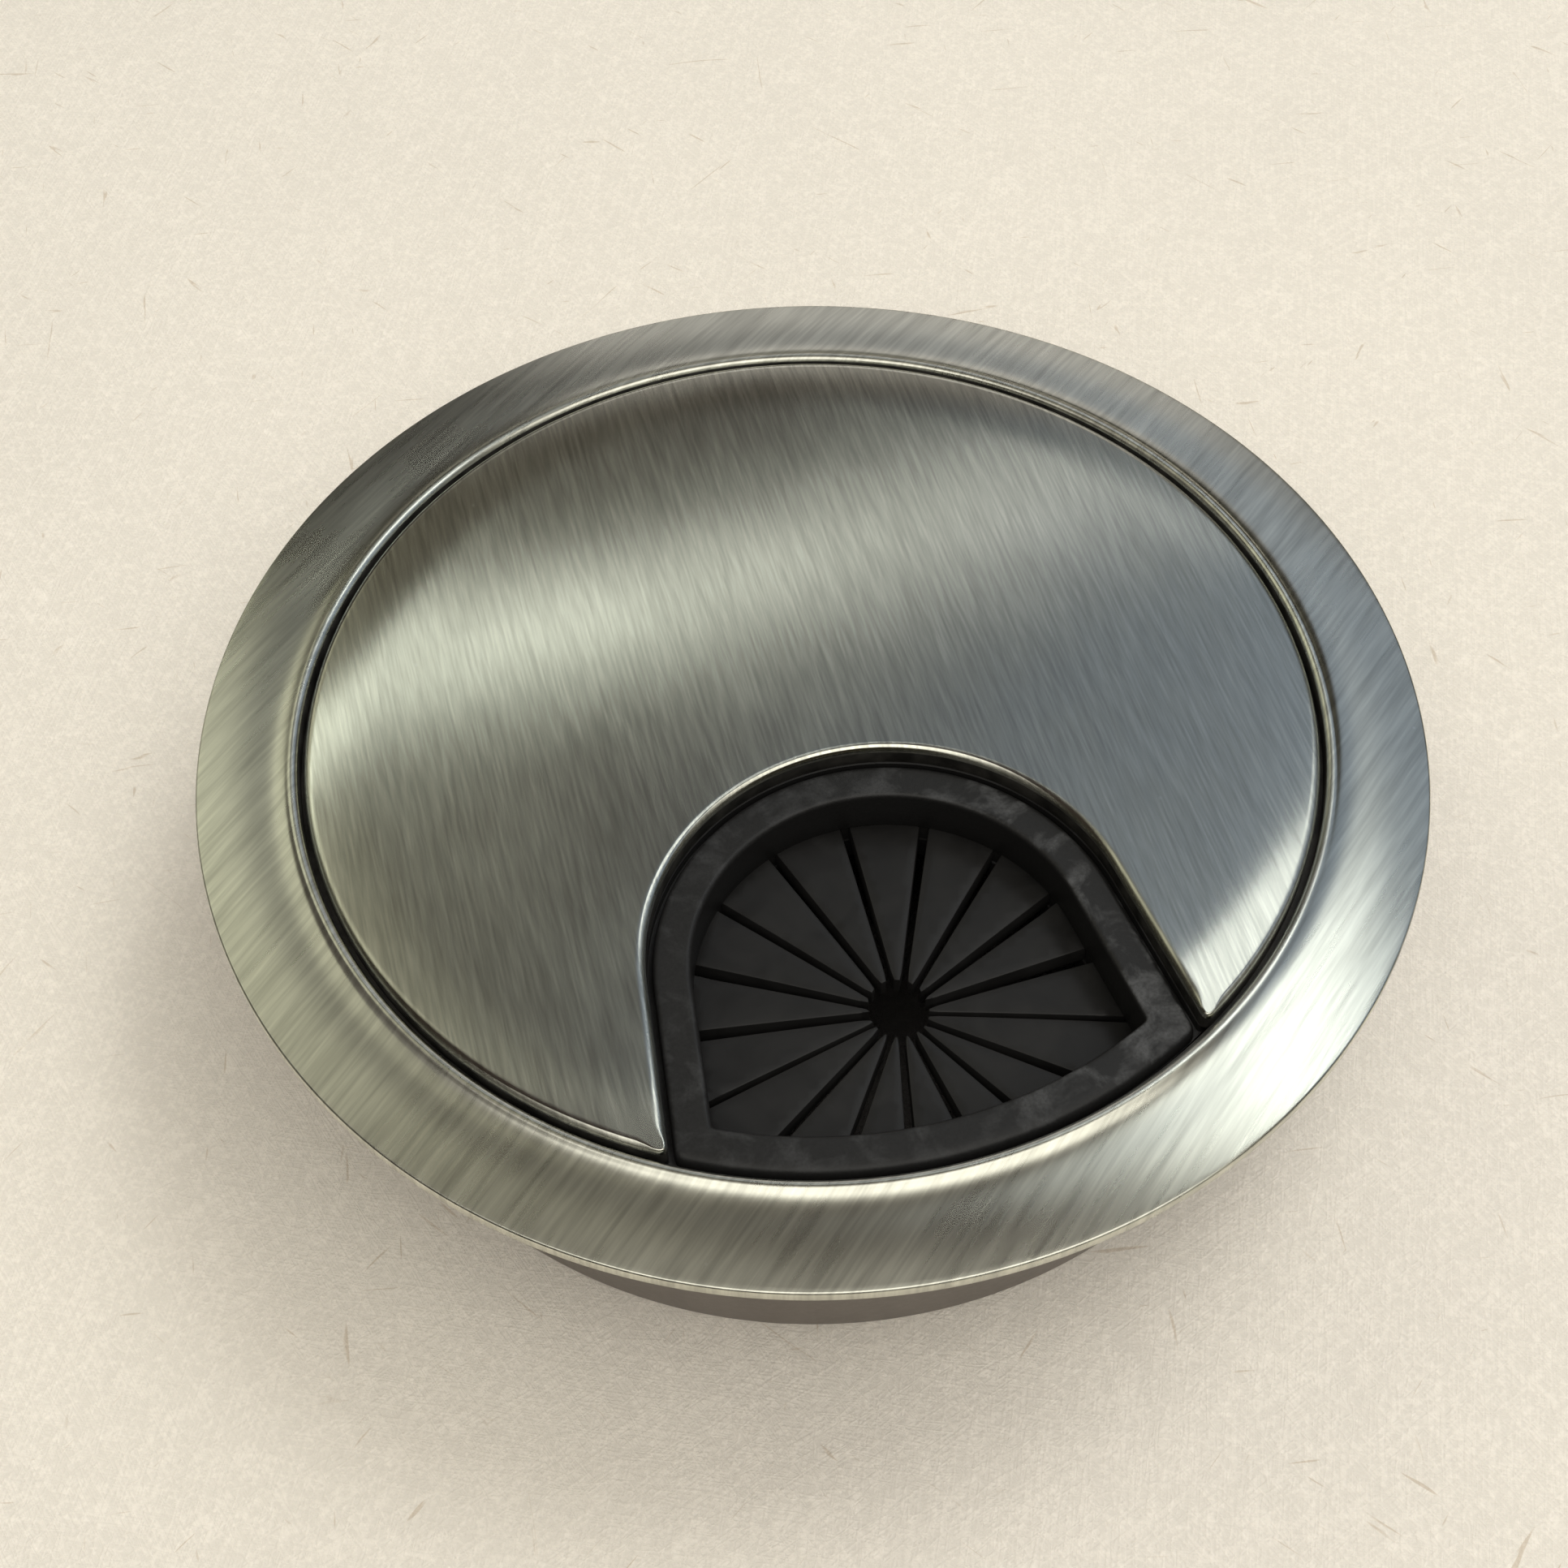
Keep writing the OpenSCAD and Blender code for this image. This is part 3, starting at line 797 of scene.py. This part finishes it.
def floor_paper():
    """Pale fibrous paper: matted fibres in every direction, and a few darker stray ones.
    Inside the sleeve it is painted near-black: painted shade for the bore, standing in for the dark hole of
    a desk."""
    m = Finish("floor_paper", Roughness=0.92, Specular_IOR_Level=0.15)
    fine = m.noise(m.coordinates(0.35 * MM), 3, 0.65)
    clouds = m.noise(m.coordinates(25 * MM), 2, 0.5)
    mat = 0
    strays = 0
    for k in range(4):
        turn = 0.35 + k * math.pi / 4
        sway = 1.1 + 0.2 * k
        fibres = m.noise(m.coordinates((2.4 * MM, 0.33 * MM, 1), turn, (k * 3, k, 0)), 2, 0.5, sway)
        mat = m.sum(m.spread(fibres, 0.42, 0.62), mat)
        long_fibres = m.noise(m.coordinates((5 * MM, 0.5 * MM, 1), turn + 0.3, (k, 9, k)), 1, 0.5, 0.9)
        strays = m.sum(m.spread(long_fibres, 0.755, 0.80), strays)
    tone = m.sum(m.spread(mat, 1, 3, 0.93, 1.03), m.spread(clouds, 0.3, 0.7, -0.012, 0.012))
    tone = m.sum(tone, m.spread(fine, 0.3, 0.7, -0.02, 0.015))
    base = m.blend(m.product(strays, 0.45), m.shade((0.90, 0.845, 0.755, 1), tone), (0.52, 0.40, 0.27, 1))
    # Painted shade: the paper inside the sleeve is blended to near-black.
    place = m.node("TexCoord").outputs["Object"]
    from_axis = m.node("VectorMath", {0: place}, operation="LENGTH").outputs["Value"]
    base = m.blend(m.spread(from_axis, sleeve_r - 0.8 * MM, sleeve_r - 0.5 * MM), grey(0.07, 0.06), base)
    return m.finish(Base_Color=base, Normal=m.bump(m.sum(mat, m.product(fine, 0.5)), 0.35, 0.12 * MM))


def keep_node(node, material):
    """Shows a CAD node as it is, with eased edges and a better material."""
    piece = frame["nodes"][node]
    piece.data.materials.clear()
    piece.data.materials.append(material)
    ease = piece.modifiers.new("eased_edges", "BEVEL")
    ease.width = 0.06 * MM
    ease.segments = 2
    ease.limit_method = "ANGLE"
    ease.angle_limit = math.radians(50)


# ---- Stage ---------------------------------------------------------------------------------------

def add_floor():
    mesh = bpy.data.meshes.new("floor")
    half = 1500 * MM
    corners = [(-half, -half, 0), (half, -half, 0), (half, half, 0), (-half, half, 0)]
    mesh.from_pydata(corners, [], [(0, 1, 2, 3)])
    mesh.materials.append(floor_paper())
    floor = bpy.data.objects.new("floor", mesh)
    bpy.context.scene.collection.objects.link(floor)


def placed(origin, x_way, y_way, z_way):
    """Matrix of an object at origin whose axes point these ways."""
    return Matrix.Translation(origin) @ Matrix((x_way, y_way, z_way)).transposed().to_4x4()


def add_light(name, azimuth, elevation, half_width, half_height, radiance, roll=0.0, shine=True):
    """Soft panel that faces the grommet. All angles are in degrees, azimuth from +Y towards +X.
    shine False keeps the panel out of reflections."""
    distance = 0.8
    a, e = math.radians(azimuth), math.radians(elevation)
    way = Vector((math.sin(a) * math.cos(e), math.cos(a) * math.cos(e), math.sin(e)))
    lamp = bpy.data.lights.new(name, "AREA")
    lamp.shape = "RECTANGLE"
    lamp.size = 2 * distance * math.tan(math.radians(half_width))
    lamp.size_y = 2 * distance * math.tan(math.radians(half_height))
    lamp.energy = max(radiance) * math.pi * lamp.size * lamp.size_y
    lamp.color = [c / max(radiance) for c in radiance]
    light = bpy.data.objects.new(name, lamp)
    level = Vector((-math.cos(a), math.sin(a), 0))
    upward = way.cross(level)
    turn = math.radians(roll)
    side_way = level * math.cos(turn) + upward * math.sin(turn)
    up_way = upward * math.cos(turn) - level * math.sin(turn)
    light.matrix_world = placed(way * distance, side_way, up_way, way)
    light.visible_glossy = shine
    bpy.context.scene.collection.objects.link(light)


def light_world(low, high):
    """Dim room whose radiance rises from the horizon to straight overhead."""
    world = bpy.data.worlds.new("room")
    world.use_nodes = True
    tree = world.node_tree
    place = tree.nodes.new("ShaderNodeTexCoord")
    split = tree.nodes.new("ShaderNodeSeparateXYZ")
    mix = tree.nodes.new("ShaderNodeMix")
    mix.data_type = "RGBA"
    mix.inputs[6].default_value = low
    mix.inputs[7].default_value = high
    tree.links.new(place.outputs["Generated"], split.inputs[0])
    tree.links.new(split.outputs["Z"], mix.inputs[0])
    tree.links.new(mix.outputs[2], tree.nodes["Background"].inputs["Color"])
    bpy.context.scene.world = world


def add_camera():
    """Camera at the photograph's angle, about 15 cm from the grommet."""
    azimuth, elevation, roll = (math.radians(v) for v in (-14.126, 53.738, -1.334))
    back = Vector((math.sin(azimuth) * math.cos(elevation), -math.cos(azimuth) * math.cos(elevation),
                   math.sin(elevation)))
    level = Vector((math.cos(azimuth), math.sin(azimuth), 0))
    upward = back.cross(level)
    right = level * math.cos(roll) + upward * math.sin(roll)
    up = upward * math.cos(roll) - level * math.sin(roll)
    data = bpy.data.cameras.new("camera")
    data.sensor_width = 36
    data.lens = 53.23
    data.clip_start = 0.005
    camera = bpy.data.objects.new("camera", data)
    distance, leftwards, upwards = 146.36, 1.6, 6.411
    place = back * distance * MM - level * leftwards * MM + upward * upwards * MM
    camera.matrix_world = placed(place, right, up, back)
    bpy.context.scene.collection.objects.link(camera)
    bpy.context.scene.camera = camera


# ---- Build ---------------------------------------------------------------------------------------

add_camera()

nickel = (0.60, 0.60, 0.525, 1)
cap_metal = brushed_nickel("nickel_cap", nickel, CAP_BRUSH, 0.215, 0.99, 0.16 * MM, 0.035, 3.7)
ring_metal = brushed_nickel("nickel_ring", nickel, RING_BRUSH, 0.275, 0.80, 0.24 * MM, 0.08, 8.2)
plastic = black_plastic()
rubber = black_rubber()

# Painted shade for the walls of the narrow gaps
shade_in_gaps = painted_gap_shade()
ring_shell(ring_metal, shaded_cast_metal(), shade_in_gaps)
cap_top(cap_metal, shade_in_gaps)
port_frame(plastic)
carrier_disc(plastic)
rubber_rim(rubber)
rubber_flaps(rubber)

keep_node("glide_ring", glide_plastic())
keep_node("diaphragm_retainer", plastic)
screw_metal = plated_screw()
keep_node("cap_screws", screw_metal)
keep_node("retainer_screws", screw_metal)

add_floor()
light_world((0.035, 0.035, 0.024, 1), (0.025, 0.01, 0.005, 1))
add_light("side_sky", 69.2, 45.6, 30.3, 17.5, (0.281, 0.349, 0.45), roll=24.5)
add_light("back_strip", 3.5, 49.3, 22.6, 1.05, (1.005, 0.996, 0.981), roll=2.7)
add_light("left_strip", -24.8, 45.6, 23.7, 1.47, (0.919, 1.026, 0.892), roll=-23.8)
add_light("key", 63.1, 61.3, 11.2, 4.75, (3.82, 3.93, 3.78), roll=-22.4)
add_light("low_back", 19.7, 24.7, 16.1, 10.4, (0.736, 0.707, 0.69), roll=5.1)
add_light("left_card", -39.1, 42.4, 13.8, 18.8, (0.76, 0.756, 0.584), roll=-22)
add_light("front_fill", 178, 62, 32, 20, (2.1, 2.05, 1.9))
add_light("overhead", -110, 86, 52, 52, (0.36, 0.345, 0.33), shine=False)
add_light("soft_key", 64, 60, 15, 15, (2.5, 2.45, 2.3), shine=False)
bpy.context.scene.view_settings.view_transform = "Standard"
